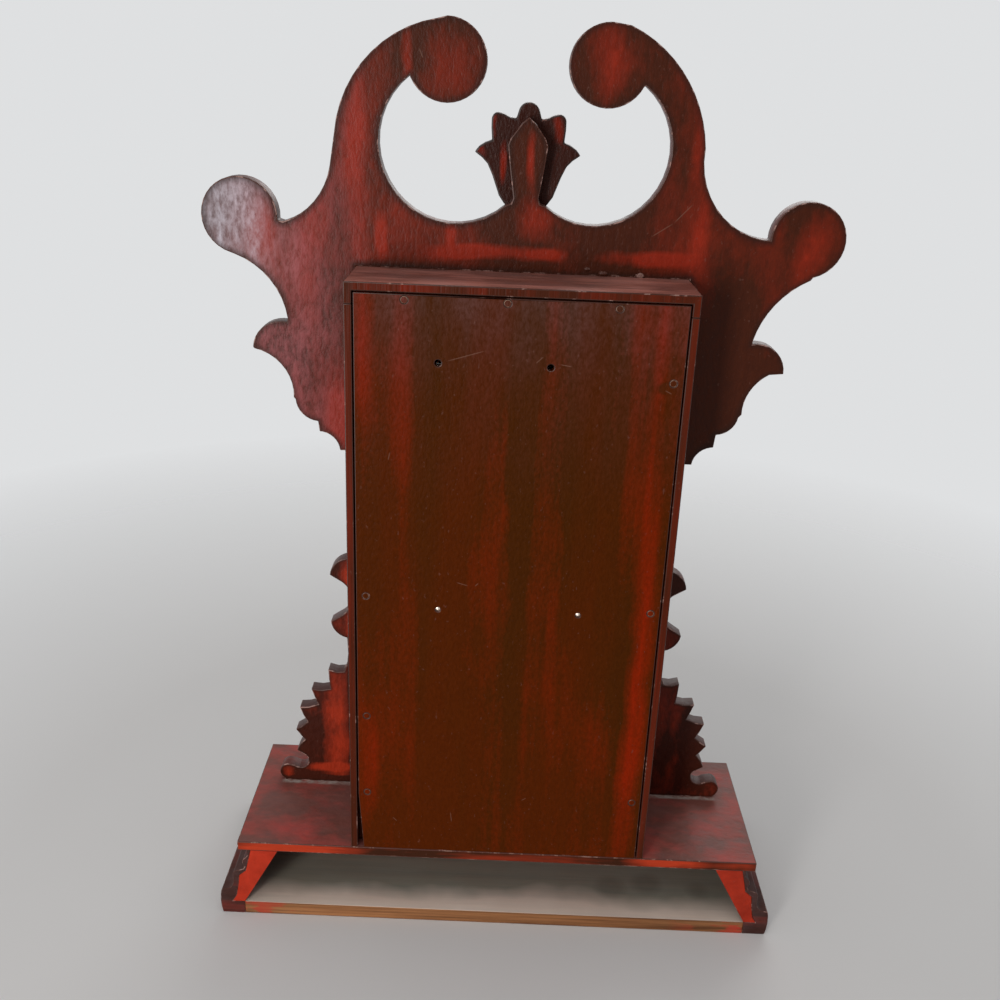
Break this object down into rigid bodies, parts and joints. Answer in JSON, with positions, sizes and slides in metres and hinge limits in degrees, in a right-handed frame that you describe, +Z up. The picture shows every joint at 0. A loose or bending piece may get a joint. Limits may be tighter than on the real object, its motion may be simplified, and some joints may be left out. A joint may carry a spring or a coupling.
{
  "type": "gingerbread clock",
  "caption": "Wooden kitchen shelf clock with pierced scroll crest and leafy side ornaments, box case on a moulded base, hinged glazed door, striking pendulum movement with wire gong.",
  "frame": {"origin": "middle of the footprint on the shelf, base underside at Z = 0", "axes": "+Z up, the dial and door face -Y, the flat back is at +Y, +X is on the right hand seen from the front"},
  "size_m": [0.3654, 0.1242, 0.5576],
  "materials": {
    "walnut_brown": "worn dark brown paint and varnish, semi gloss",
    "red_brown": "dark brown over red, brushed streaks, semi gloss",
    "red_paint": "red painted softwood",
    "raw_wood": "bare pine, dusty",
    "brass": "satin",
    "steel": "satin",
    "blued_steel": "oiled spring steel",
    "iron": "black japanned",
    "black_hands": "satin black",
    "dial_paper": "matt ivory",
    "glass": "clear old glass"
  },
  "bodies": {
    "case": {"base_bottom_board": "raw_wood", "base_cores": "red_paint", "base_moulding_left": "walnut_brown", "base_moulding_right": "walnut_brown", "base_moulding_front": "walnut_brown", "base_top_board": "walnut_brown", "case_side_left": "walnut_brown", "case_side_right": "walnut_brown", "case_top_board": "walnut_brown", "backboard": "red_brown", "backboard_nails": "steel", "crest_board": "red_brown", "finial_palmette": "red_brown", "side_ornament_left": "red_brown", "side_ornament_right": "red_brown", "case_hinge_leaves": "brass", "dial_cleats": "raw_wood", "dial_pan": "dial_paper", "dial_bezel": "brass", "dial_screws": "brass", "front_plate": "brass", "back_plate": "brass", "plate_pillars": "steel", "movement_screws": "steel", "suspension_post": "brass", "gong_block": "iron", "gong_coil": "blued_steel", "mainsprings": "blued_steel"},
    "door": {"door_stile_left": "walnut_brown", "door_stile_right": "walnut_brown", "door_rail_top": "walnut_brown", "door_rail_bottom": "walnut_brown", "door_glass": "glass", "door_beads": "walnut_brown", "door_hinge_leaves": "brass"},
    "latch": {"latch_knob": "brass"},
    "minute": {"minute_hand": "black_hands", "cannon_pinion": "brass"},
    "hour": {"hour_hand": "black_hands", "hour_wheel": "brass"},
    "motion": {"minute_wheel": "brass"},
    "centre": {"centre_wheel": "brass"},
    "time_main": {"time_main_wheel": "brass"},
    "time_arbor": {"time_winding_arbor": "steel"},
    "time_pawl": {"time_click": "steel"},
    "time_second": {"time_second_wheel": "brass"},
    "third": {"third_wheel": "brass"},
    "escape": {"escape_wheel": "brass"},
    "pallets": {"verge": "steel"},
    "pendulum": {"pendulum_rod": "brass", "pendulum_bob": "brass"},
    "nut": {"rating_nut": "brass"},
    "strike_main": {"strike_main_wheel": "brass"},
    "strike_arbor": {"strike_winding_arbor": "steel"},
    "strike_pawl": {"strike_click": "steel"},
    "strike_second": {"strike_second_wheel": "brass"},
    "strike_third": {"strike_third_wheel": "brass"},
    "fly": {"fly": "brass"},
    "hammer": {"hammer": "steel"}
  },
  "joints": [
    {"name": "door_hinge", "type": "hinge", "parent": "case", "child": "door", "pos_m": [0.0972, -0.0227, 0.24], "axis": [0, 0, 1], "range_deg": [0, 110]},
    {"name": "latch_turn", "type": "hinge", "parent": "door", "child": "latch", "pos_m": [-0.0783, -0.0419, 0.2402], "axis": [0, 1, 0], "range_deg": [-90, 0]},
    {"name": "minute_spin", "type": "hinge", "parent": "case", "child": "minute", "pos_m": [0, -0.0108, 0.322], "axis": [0, 1, 0], "continuous": true},
    {"name": "hour_spin", "type": "hinge", "parent": "case", "child": "hour", "pos_m": [0, -0.0108, 0.322], "axis": [0, 1, 0], "continuous": true},
    {"name": "motion_spin", "type": "hinge", "parent": "case", "child": "motion", "pos_m": [-0.00983, 0.008, 0.31512], "axis": [0, 1, 0], "continuous": true},
    {"name": "third_spin", "type": "hinge", "parent": "case", "child": "third", "pos_m": [-0.00302, 0.0268, 0.33949], "axis": [0, 1, 0], "continuous": true},
    {"name": "centre_spin", "type": "hinge", "parent": "case", "child": "centre", "pos_m": [0, 0.0268, 0.322], "axis": [0, 1, 0], "continuous": true},
    {"name": "time_second_spin", "type": "hinge", "parent": "case", "child": "time_second", "pos_m": [0.02079, 0.0268, 0.319], "axis": [0, 1, 0], "continuous": true},
    {"name": "time_main_spin", "type": "hinge", "parent": "case", "child": "time_main", "pos_m": [0.031, 0.0268, 0.29], "axis": [0, 1, 0], "continuous": true},
    {"name": "time_wind", "type": "hinge", "parent": "time_main", "child": "time_arbor", "pos_m": [0.031, 0.0268, 0.29], "axis": [0, 1, 0], "continuous": true},
    {"name": "time_click_lift", "type": "hinge", "parent": "time_main", "child": "time_pawl", "pos_m": [0.02536, 0.0268, 0.27449], "axis": [0, 1, 0], "range_deg": [0, 9], "stiffness_Nm_per_rad": 0.002},
    {"name": "escape_spin", "type": "hinge", "parent": "case", "child": "escape", "pos_m": [0, 0.0268, 0.355], "axis": [0, 1, 0], "continuous": true},
    {"name": "pendulum_swing", "type": "hinge", "parent": "case", "child": "pendulum", "pos_m": [0, -0.004, 0.392], "axis": [0, 1, 0], "range_deg": [-4.5, 4.5]},
    {"name": "verge_rock", "type": "hinge", "parent": "case", "child": "pallets", "pos_m": [0, 0.008, 0.378], "axis": [0, 1, 0], "range_deg": [-6.5, 6.5]},
    {"name": "rating_turn", "type": "hinge", "parent": "pendulum", "child": "nut", "pos_m": [0, -0.004, 0.167], "axis": [0, 0, 1], "continuous": true},
    {"name": "strike_third_spin", "type": "hinge", "parent": "case", "child": "strike_third", "pos_m": [-0.03269, 0.0268, 0.34096], "axis": [0, 1, 0], "continuous": true},
    {"name": "strike_second_spin", "type": "hinge", "parent": "case", "child": "strike_second", "pos_m": [-0.03634, 0.0268, 0.32028], "axis": [0, 1, 0], "continuous": true},
    {"name": "strike_main_spin", "type": "hinge", "parent": "case", "child": "strike_main", "pos_m": [-0.031, 0.0268, 0.29], "axis": [0, 1, 0], "continuous": true},
    {"name": "strike_wind", "type": "hinge", "parent": "strike_main", "child": "strike_arbor", "pos_m": [-0.031, 0.0268, 0.29], "axis": [0, 1, 0], "continuous": true},
    {"name": "strike_click_lift", "type": "hinge", "parent": "strike_main", "child": "strike_pawl", "pos_m": [-0.02536, 0.0268, 0.27449], "axis": [0, 1, 0], "range_deg": [-9, 0], "stiffness_Nm_per_rad": 0.002},
    {"name": "fly_spin", "type": "hinge", "parent": "case", "child": "fly", "pos_m": [-0.02482, 0.0268, 0.3546], "axis": [0, 1, 0], "continuous": true},
    {"name": "hammer_lift", "type": "hinge", "parent": "case", "child": "hammer", "pos_m": [-0.05, 0.0268, 0.24], "axis": [0, 1, 0], "range_deg": [0, 9], "stiffness_Nm_per_rad": 0.05, "springref_deg": -5.73}
  ],
  "couplings": [
    {"joint": "hour_spin", "follows": "minute_spin", "ratio": 0.083333},
    {"joint": "motion_spin", "follows": "minute_spin", "ratio": -0.33333},
    {"joint": "centre_spin", "follows": "third_spin", "ratio": -0.10938},
    {"joint": "time_second_spin", "follows": "third_spin", "ratio": 0.018229},
    {"joint": "time_main_spin", "follows": "third_spin", "ratio": -0.0025318},
    {"joint": "escape_spin", "follows": "third_spin", "ratio": -10.286},
    {"joint": "verge_rock", "follows": "pendulum_swing", "ratio": 1.4118},
    {"joint": "strike_second_spin", "follows": "strike_third_spin", "ratio": -0.16667},
    {"joint": "strike_main_spin", "follows": "strike_third_spin", "ratio": 0.023148},
    {"joint": "fly_spin", "follows": "strike_third_spin", "ratio": -8}
  ]
}
